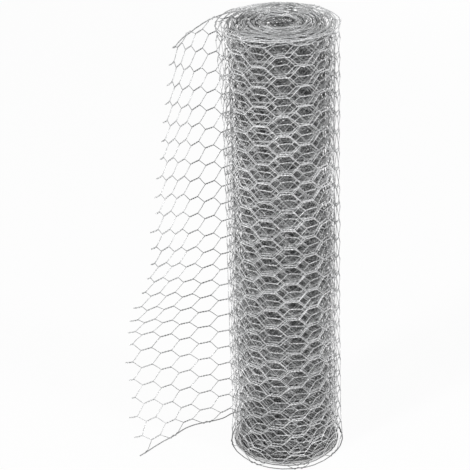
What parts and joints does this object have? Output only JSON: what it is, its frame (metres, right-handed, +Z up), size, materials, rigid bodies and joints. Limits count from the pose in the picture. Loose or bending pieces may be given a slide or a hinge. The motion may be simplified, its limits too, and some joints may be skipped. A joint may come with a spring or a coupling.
{
  "type": "roll of hexagonal wire netting",
  "caption": "Upright roll of galvanised hexagonal wire netting with an open bore and its loose end unrolled to one side.",
  "frame": {"origin": "centre of the roll's bore, on the floor that the roll stands on", "axes": "+Z up along the bore, -Y towards the picture's camera, -X towards the loose end"},
  "size_m": [0.2833, 0.1531, 0.6],
  "materials": {
    "galvanised_wire": "galvanised steel wire, dull spangled zinc, a little brighter on the outermost wires"
  },
  "bodies": {
    "root": {"roll": "galvanised_wire", "loose_end": "galvanised_wire"}
  },
  "joints": []
}
